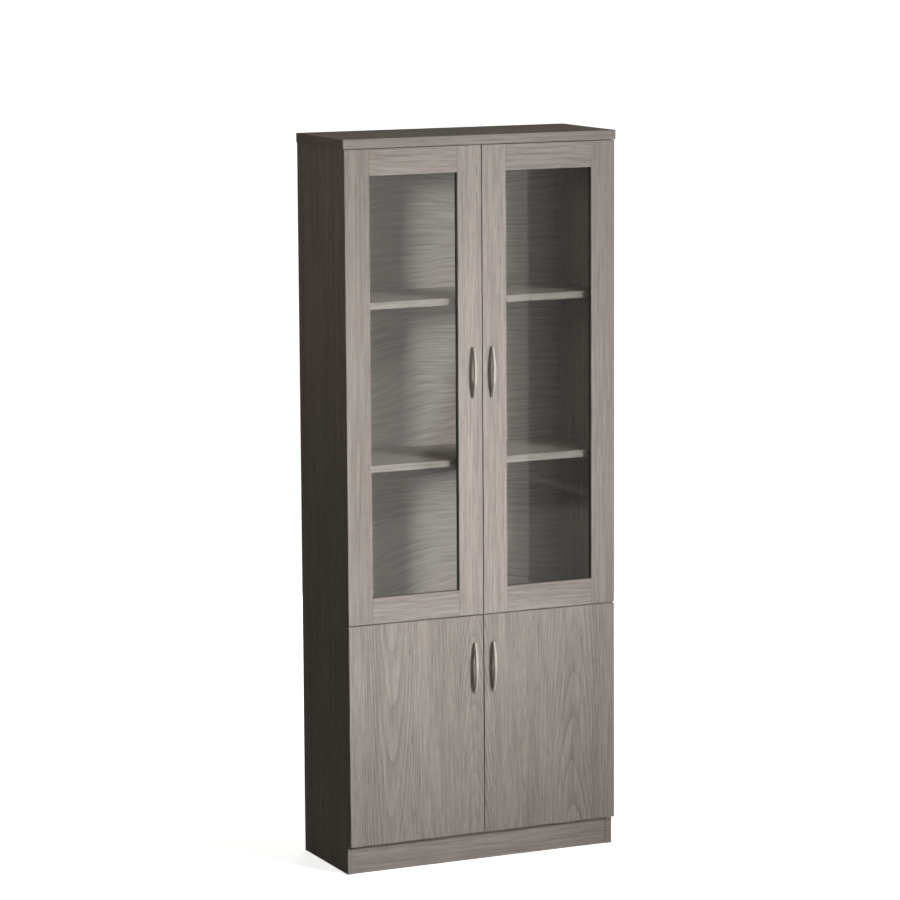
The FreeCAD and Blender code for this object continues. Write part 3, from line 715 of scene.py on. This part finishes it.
def cup_bowl():
    """The drawn bowl: a turned wall with a round at its floor, open at the door's back."""
    turn = np.linspace(0.0, math.pi / 2, 7)
    outside = [(CUP_DEPTH - CUP_ROUND * (1 - math.cos(angle)),
                CUP_RADIUS - CUP_ROUND * (1 - math.sin(angle))) for angle in turn]
    inside = [(reach - CUP_WALL, radius - CUP_WALL) for reach, radius in outside]
    profile = [(CUP_DEPTH, 0.0)] + outside + [(0.0, CUP_RADIUS), (-FLANGE, CUP_RADIUS - CUP_WALL)]
    profile += inside[::-1] + [(CUP_DEPTH - CUP_WALL, 0.0)]
    return turned(profile, (CUP_MIDDLE_X, DOOR_BACK_Y, 0.0), (0, -1, 0), columns=64)


def cup_flange(samples=400, columns=128):
    """The flange with its two ears.

    Its edge in the direction a is the further of a circle round the cup and the far side of the
    oblong that joins the ears. The section runs round from the cup's wall, softened at the edge.
    """
    angle = np.linspace(0.0, math.tau, columns, endpoint=False)
    way = np.stack([np.cos(angle), np.sin(angle)], axis=-1)
    reach = np.linspace(CUP_RADIUS, EAR_HEIGHT + EAR_RADIUS + EAR_INSET, samples)
    place = reach[:, None, None] * way
    past_ears = np.maximum(np.abs(place[..., 1]) - EAR_HEIGHT, 0.0)
    from_line = np.hypot(place[..., 0] + EAR_INSET, past_ears)
    oblong = np.where(from_line <= EAR_RADIUS, reach[:, None], 0.0).max(axis=0)
    edge = np.maximum(oblong, CUP_RADIUS + CUP_WALL)
    section = np.array([(0.0, 0.0), (1.0, 0.0), (1.0, 0.5), (0.97, 1.0), (0.0, 1.0), (0.0, 0.0)])
    inner = CUP_RADIUS - CUP_WALL
    radius = inner + (edge - inner) * section[:, :1]
    x = CUP_MIDDLE_X + radius * way[:, 0]
    y = np.broadcast_to(DOOR_BACK_Y + section[:, 1:] * FLANGE, x.shape)
    return np.stack([x, y, radius * way[:, 1]], axis=-1)


def cup_parts():
    """The cup with a lug and a riveted pin for each link."""
    grids = [cup_bowl(), cup_flange()]
    floor_y = DOOR_BACK_Y - CUP_DEPTH + CUP_WALL
    pin_length = CHEEK_INNER - LINK_PLAY / 2 + CHEEK + PIN_RIVET
    for (x, y), side in ((SHORT_LINK[-1], -1.0), (LONG_LINK[-1], 1.0)):
        lug = sorted((side * CHEEK_INNER, side * (CHEEK_INNER + CHEEK)))
        lug_back = min(y + EYE_RADIUS, DOOR_BACK_Y)
        grids.append(soft_block((x - EYE_RADIUS, floor_y, lug[0]),
                                (x + EYE_RADIUS, lug_back, lug[1])))
        grids.append(rod((x, y, side * LINK_PLAY / 2), (0, 0, side), PIN_RADIUS, pin_length))
    return grids


def cup_screws():
    """The two screws through the flange's ears."""
    ears = [(CUP_MIDDLE_X - EAR_INSET, DOOR_BACK_Y + FLANGE, side * EAR_HEIGHT) for side in (-1, 1)]
    return [screw_head(ear, (0, 1, 0), HINGE_SCREW_RADIUS, HINGE_SCREW_RISE) for ear in ears]


def plate_screws():
    """The screws of the wings, and the fixing and adjusting screws on the arm's web."""
    wings = [(INNER_X - PLATE_WING, CARCASS_FRONT_Y + PLATE_MIDDLE, side * PLATE_SCREW_HEIGHT)
             for side in (-1, 1)]
    webs = [(INNER_X - ARM_TOP, CARCASS_FRONT_Y + back, 0.0) for back in ARM_SCREWS]
    grids = [screw_head(wing, (-1, 0, 0), HINGE_SCREW_RADIUS, HINGE_SCREW_RISE) for wing in wings]
    return grids + [screw_head(web, (-1, 0, 0), ARM_SCREW_RADIUS, ARM_SCREW_RISE) for web in webs]


def door_hinges(row, side):
    """The links, cups and screws of all hinges on one door."""
    def placed(grids):
        return mirrored(shifted(grids, hinge_heights(row)), SIDES[side])

    door = f"{row}_{side}"
    links = (("short", SHORT_LINK, -LINK_PLAY / 2 - LINK_LAYER), ("long", LONG_LINK, LINK_PLAY / 2))
    for name, corners, base in links:
        add_piece(f"{door}_{name}_link_bars", f"{door}_hinge_{name}_links", steel,
                  placed(bent_link(corners, base)), [f"{door}_{name}_links"])
    add_piece(f"{door}_cups", f"{door}_door", steel, placed(cup_parts()),
              [f"{door}_hinge_cups"])
    add_piece(f"{door}_cup_screws", f"{door}_door", zinc, placed(cup_screws()))
    add_piece(f"{door}_plate_screws", "carcass", zinc, placed(plate_screws()))


# ---- Carcass fittings ----

CAM_RIM = 7.9 * MM
CAM_RIM_WIDTH = 1.6 * MM
CAM_CROSS = 5.5 * MM
CAM_RISE = 0.3 * MM
CAM_DEPTH = 12.5 * MM
CAM_DISTANCE = 34.0 * MM
CAM_INSET = 60.0 * MM
BACK_SCREWS = 4
BACK_SCREW_HEAD = 3.2 * MM
BACK_SCREW_RADIUS = 1.6 * MM
SUPPORT_RADIUS = 2.5 * MM
SUPPORT_REACH = 9.0 * MM
SUPPORT_TIP = 0.6 * MM
BUMPER_INSET = 12.0 * MM
BUMPER_RADIUS = 3.0 * MM


def cam(centre, face):
    """A turned cam with a raised rim and a cross to turn it by.

    The profile runs from the middle of the hidden end over the rim to the middle of the face.
    """
    inside = CAM_RIM - CAM_RIM_WIDTH
    rim = turned([(-CAM_DEPTH, 0.0), (-CAM_DEPTH, inside), (-0.1 * MM, inside), (0.0, CAM_RIM),
                  (CAM_RISE * 0.7, CAM_RIM), (CAM_RISE, CAM_RIM - 0.3 * MM),
                  (CAM_RISE, CAM_RIM - 1.2 * MM), (0.02 * MM, inside), (0.02 * MM, 0.0)],
                 centre, face, columns=40)
    return [rim, screw_head(centre, face, CAM_CROSS, CAM_RISE)]


def cams():
    """The cams in the sides under the top, and under the bottom and middle panels."""
    grids = []
    side_top = high_corner("side_panel_right").z
    for y in (CARCASS_FRONT_Y + CAM_INSET, BACK_PANEL_FRONT_Y - CAM_INSET):
        grids += cam((INNER_X, y, side_top - CAM_DISTANCE), (-1, 0, 0))
        for panel in ("bottom_panel", "middle_panel"):
            grids += cam((INNER_X - CAM_DISTANCE, y, low_corner(panel).z), (0, 0, -1))
    add_piece("cam_discs", "carcass", zinc, both_sides(grids), ["cam_housings"])


def back_screws():
    """Rows of screws through the back panels, evenly across the inner width."""
    node = "back_panel_screws"
    low, high = low_corner(node), high_corner(node)
    middle = (low_corner("middle_panel").z + high_corner("middle_panel").z) / 2
    top_row = high.z - BACK_SCREW_HEAD
    rows = (low.z + BACK_SCREW_HEAD, 2 * middle - top_row, top_row)
    xs = INNER_X * (2 * np.arange(BACK_SCREWS) + 1 - BACK_SCREWS) / BACK_SCREWS
    grids = []
    for seat in [(x, BACK_PANEL_REAR_Y, z) for z in rows for x in xs]:
        grids.append(screw_head(seat, (0, 1, 0), BACK_SCREW_HEAD, high.y - BACK_PANEL_REAR_Y))
        grids.append(rod(seat, (0, -1, 0), BACK_SCREW_RADIUS, BACK_PANEL_REAR_Y - low.y))
    add_piece("back_fixings", "carcass", zinc, grids, [node])


def shelf_supports():
    """Round pins under the shelves, with a softened tip."""
    node = "shelf_pins"
    low, high = low_corner(node), high_corner(node)
    grids = []
    for shelf in ("base_shelf", "lower_glass_shelf", "upper_glass_shelf"):
        z = low_corner(shelf).z - SUPPORT_RADIUS
        for y in (low.y + SUPPORT_RADIUS, high.y - SUPPORT_RADIUS):
            grids.append(rod((high.x, y, z), (-1, 0, 0), SUPPORT_RADIUS,
                             high.x - INNER_X + SUPPORT_REACH, SUPPORT_TIP))
    add_piece("shelf_supports", "carcass", zinc, both_sides(grids), [node])


def bumpers():
    """Clear domes on the carcass behind the doors' inner corners.

    At the angle a a dome has the rise sin(a) and the radius BUMPER_RADIUS * cos(a)^0.7.
    """
    node = "door_bumpers"
    low, high = low_corner(node), high_corner(node)
    rise = high.y - low.y
    heights = (low.z + BUMPER_RADIUS, high.z - BUMPER_RADIUS,
               (high_corner("lower_left_slab").z + low_corner("middle_panel").z) / 2)
    dome = [(rise * math.sin(angle), BUMPER_RADIUS * math.cos(angle) ** 0.7)
            for angle in np.linspace(0.0, math.pi / 2, 8)[:-1]]
    grids = [turned([(0.0, 0.0)] + dome + [(rise, 0.0)], (BUMPER_INSET, CARCASS_FRONT_Y, z),
                    (0, -1, 0), columns=24) for z in heights]
    add_piece("bumper_domes", "carcass", clear_rubber, both_sides(grids), [node])


for row in HINGES_ON_DOOR:
    for side in SIDES:
        bow_handle(row, side)
        handle_fixings(row, side)
        door_hinges(row, side)
cams()
back_screws()
shelf_supports()
bumpers()


# ---- Camera and lamps ----

CAMERA_PLACE = (-4.2886, -9.25435, 2.6427)
CAMERA_YAW = math.radians(24.72)
CAMERA_PITCH = math.radians(-8.527)
CAMERA_ROLL = math.radians(-0.354)
FOCAL_PIXELS = 3784.3
FRAME_PIXELS = 900.0
SENSOR = 36.0
CAMERA_FAR = 200.0


def camera():
    """A pinhole at CAMERA_PLACE that looks along the yaw and pitch and is turned by the roll."""
    data = bpy.data.cameras.new("camera")
    data.sensor_width = SENSOR
    data.lens = FOCAL_PIXELS * SENSOR / FRAME_PIXELS
    data.clip_end = CAMERA_FAR
    ahead = Vector((math.sin(CAMERA_YAW) * math.cos(CAMERA_PITCH),
                    math.cos(CAMERA_YAW) * math.cos(CAMERA_PITCH), math.sin(CAMERA_PITCH)))
    level = Vector((math.cos(CAMERA_YAW), -math.sin(CAMERA_YAW), 0.0))
    above = level.cross(ahead)
    right = level * math.cos(CAMERA_ROLL) + above * math.sin(CAMERA_ROLL)
    up = above * math.cos(CAMERA_ROLL) - level * math.sin(CAMERA_ROLL)
    made = bpy.data.objects.new("camera", data)
    turn = Matrix((right, up, -ahead)).transposed().to_4x4()
    made.matrix_world = Matrix.Translation(CAMERA_PLACE) @ turn
    bpy.context.scene.collection.objects.link(made)
    bpy.context.scene.camera = made


def lamp(name, place, target, size, watts, colour=(1.0, 1.0, 1.0), spread=180.0):
    """A rectangular softbox that neither the camera nor a mirror shows."""
    data = bpy.data.lights.new(name, "AREA")
    data.shape = "RECTANGLE"
    data.size, data.size_y = size
    data.energy = watts
    data.color = colour
    data.spread = math.radians(spread)
    made = bpy.data.objects.new(name, data)
    made.location = place
    made.rotation_euler = (Vector(target) - Vector(place)).to_track_quat("-Z", "Y").to_euler()
    made.visible_glossy = False
    made.visible_camera = False
    bpy.context.scene.collection.objects.link(made)


# ---- Floor, reflection cards and world ----

# An edge is a pair, from the place of 0 to the place of 1
FLOOR_HALF = 60.0
FLOOR_PAINT = (0.9, 0.9, 0.9)
FLOOR_BOUNCE = (0.12, 0.115, 0.11)
FLOOR_GLOW = 0.8
FLOOR_FAR_GLOW = 0.22
FLOOR_FAR = (0.7, 2.6)
FLOOR_MIRROR = 0.1
FLOOR_MIRROR_RIGHT = 0.75
FLOOR_MIRROR_EDGE = (-0.2, 0.6)

WORLD_COLOUR = (1.0, 0.95, 0.8, 1.0)
WORLD_LIGHT = 0.1
WORLD_MIRROR = 0.15

CARD_COLOUR = (1.0, 0.96, 0.9, 1.0)
CARD_Y = -3.2
CARD_TOP = 3.2
CARD_SIDE = 3.0
RIGHT_CARD_END_Y = -0.3
REAR_CARD_Y = 4.0
REAR_CARD_RIGHT = 6.0
REAR_CARD_TOP = 3.4
LEFT_CARD_GLOW = 0.06
RIGHT_CARD_GLOW = 1.3
REAR_CARD_GLOW = 0.12

# Strengths on the front card
DARK_GLOW = 0.3
BRIGHT_GLOW = 1.45
DIM_GLOW = 0.32
FADE_GLOW = 0.42
LINE_GLOW = 0.22
BELOW_LOSS = 0.07
PALE_GLOW = 0.45
LEANING_LOSS = 1.3
FOOT_GLOW = 0.33

# Edges on the front card
BRIGHT_LEFT = (0.6, 0.8)
BAND_LEFT = (1.62, 1.632)
BAND_RIGHT = (2.1, 1.95)
FADE_RIGHT = (1.86, 1.62)
PALE_RIGHT = (1.2, 1.13)
PALE_BOTTOM = (0.62, 0.68)
PALE_TOP = (1.0, 0.9)
LEANING_LEFT = (0.925, 1.045)
LEANING_RIGHT = (1.48, 1.4)
LEANING_BOTTOM = (0.53, 0.58)
FOOT_TOP = (0.43, 0.36)
LINE_BOTTOM = (-0.012, 0.004)
LINE_TOP = (0.02, 0.004)
BELOW_TOP = (-0.004, -0.012)

# The pale line lies near z = LINE_HEIGHT - LINE_FALL * x, and the dark patch leans by LEAN * z
LINE_FALL = 0.33
LINE_HEIGHT = 1.048
LEAN = 0.37


def stage_quad(name, corners, material):
    """A flat piece of the stage, which is no part of the object."""
    mesh = bpy.data.meshes.new(name)
    mesh.from_pydata(corners, [], [(0, 1, 2, 3)])
    mesh.materials.append(material)
    made = bpy.data.objects.new(name, mesh)
    bpy.context.scene.collection.objects.link(made)
    return made


def floor_material():
    """White where it is seen, with the object's shadow near it, and dim for bounced light."""
    shader = new_material("studio_floor")
    x, y = shader.place()[:2]
    seen = shader.seen_by("Camera", "Transmission")
    matt = shader.node("BsdfDiffuse", sockets={
        "Color": shader.blend(seen, FLOOR_BOUNCE, FLOOR_PAINT),
    }).outputs[0]
    away = ((x * x) + (y * y)) ** 0.5
    mirrored = x.over(*FLOOR_MIRROR_EDGE) * FLOOR_MIRROR_RIGHT + FLOOR_MIRROR
    mirrored_glow = shader.seen_by("Glossy") * mirrored
    strength = seen * (away.over(*FLOOR_FAR) * FLOOR_FAR_GLOW + FLOOR_GLOW) + mirrored_glow
    light = shader.node("Emission", sockets={"Strength": strength}).outputs[0]
    return shader.finish(shader.node("AddShader", sockets={0: matt, 1: light}).outputs[0])


def reflection_card(name, corners, strength_of):
    """A card that only mirrors see, which glows by strength_of(x, y, z)."""
    shader = new_material(name)
    glow = shader.node("Emission", sockets={
        "Color": CARD_COLOUR, "Strength": strength_of(*shader.place()),
    }).outputs[0]
    card = stage_quad(name, corners, shader.finish(glow))
    card.visible_camera = False
    card.visible_diffuse = False
    card.visible_shadow = False
    card.visible_transmission = False


def front_glow(x, y, z):
    """Dark on the left, then bright, with an upright band that begins at a sharp edge and dims.

    A faint pale line falls to the right across the bright part, and it is a little dimmer below.
    Inside the bright part lie a pale patch, a dark one that leans to the left downwards, and a
    paler foot.
    """
    bright = x.over(*BRIGHT_LEFT) * (BRIGHT_GLOW - DARK_GLOW)
    band = x.over(*BAND_LEFT) * x.over(*BAND_RIGHT)
    above = z + x * LINE_FALL - LINE_HEIGHT
    line = above.over(*LINE_BOTTOM) * above.over(*LINE_TOP) * LINE_GLOW
    below = above.over(*BELOW_TOP) * BELOW_LOSS
    dim = x.over(*FADE_RIGHT) * FADE_GLOW + DIM_GLOW
    pale = x.over(*PALE_RIGHT) * z.over(*PALE_BOTTOM) * z.over(*PALE_TOP) * PALE_GLOW
    leaning = (x - z * LEAN).over(*LEANING_LEFT) * x.over(*LEANING_RIGHT)
    leaning = leaning * z.over(*LEANING_BOTTOM) * LEANING_LOSS
    foot = z.over(*FOOT_TOP) * FOOT_GLOW
    return bright - band * (BRIGHT_GLOW - dim) + line - below + DARK_GLOW + pale - leaning + foot


def even_glow(strength):
    """The same strength all over a card."""
    def glow(x, y, z):
        return strength
    return glow


def upright(start, end, top):
    """Corners of an upright card between two places in plan."""
    return [(*start, 0.0), (*end, 0.0), (*end, top), (*start, top)]


def studio_world():
    """White where it is seen, dim and warm where it lights."""
    world = bpy.data.worlds.new("studio")
    bpy.context.scene.world = world
    shader = Shader(world)
    strength = shader.seen_by("Glossy") * WORLD_MIRROR + WORLD_LIGHT
    dim = shader.node("Background", sockets={"Color": WORLD_COLOUR, "Strength": strength})
    white = shader.node("Background", sockets={"Color": (1.0, 1.0, 1.0, 1.0), "Strength": 1.0})
    seen = shader.seen_by("Camera", "Transmission")
    mixed = shader.node("MixShader", sockets={"Fac": seen, 1: dim.outputs[0], 2: white.outputs[0]})
    shader.finish(mixed.outputs[0], "OutputWorld")


def studio():
    """The floor, the cards round the object, the lamps and the world."""
    bpy.context.scene.view_settings.view_transform = "Standard"
    floor = [(-FLOOR_HALF, -FLOOR_HALF, 0), (FLOOR_HALF, -FLOOR_HALF, 0),
             (FLOOR_HALF, FLOOR_HALF, 0), (-FLOOR_HALF, FLOOR_HALF, 0)]
    stage_quad("floor", floor, floor_material())
    front_left, front_right = (-CARD_SIDE, CARD_Y), (CARD_SIDE, CARD_Y)
    rear_left, rear_right = (-CARD_SIDE, REAR_CARD_Y), (REAR_CARD_RIGHT, REAR_CARD_Y)
    right_end = (CARD_SIDE, RIGHT_CARD_END_Y)
    for name, start, end, top, glow in (
        ("front_card", front_left, front_right, CARD_TOP, front_glow),
        ("left_card", front_left, rear_left, CARD_TOP, even_glow(LEFT_CARD_GLOW)),
        ("right_card", front_right, right_end, CARD_TOP, even_glow(RIGHT_CARD_GLOW)),
        ("rear_card", rear_left, rear_right, REAR_CARD_TOP, even_glow(REAR_CARD_GLOW)),
    ):
        reflection_card(name, upright(start, end, top), glow)
    lamp("upper_key", place=(1.5, -3.3, 2.55), target=(-0.28, -0.15, 1.65), size=(0.9, 0.7),
         watts=5.7, spread=40.0)
    lamp("lower_key", place=(1.5, -3.3, 1.75), target=(-0.28, -0.15, 0.45), size=(0.9, 0.7),
         watts=6.0, spread=40.0)
    lamp("fill", place=(0.2, -4.8, 1.6), target=(-0.25, 0.0, 1.3), size=(3.0, 2.4),
         watts=2.6, spread=50.0)
    lamp("rear", place=(1.6, 3.4, 1.2), target=(0.0, 0.15, 1.0), size=(1.6, 2.0), watts=70.0)
    lamp("side", place=(-1.5, -1.3, 2.3), target=(-0.4, 0.0, 1.8), size=(0.6, 0.6),
         watts=1.0, colour=(1.0, 0.9, 0.8), spread=90.0)
    studio_world()


camera()
studio()

bpy.context.view_layer.update()
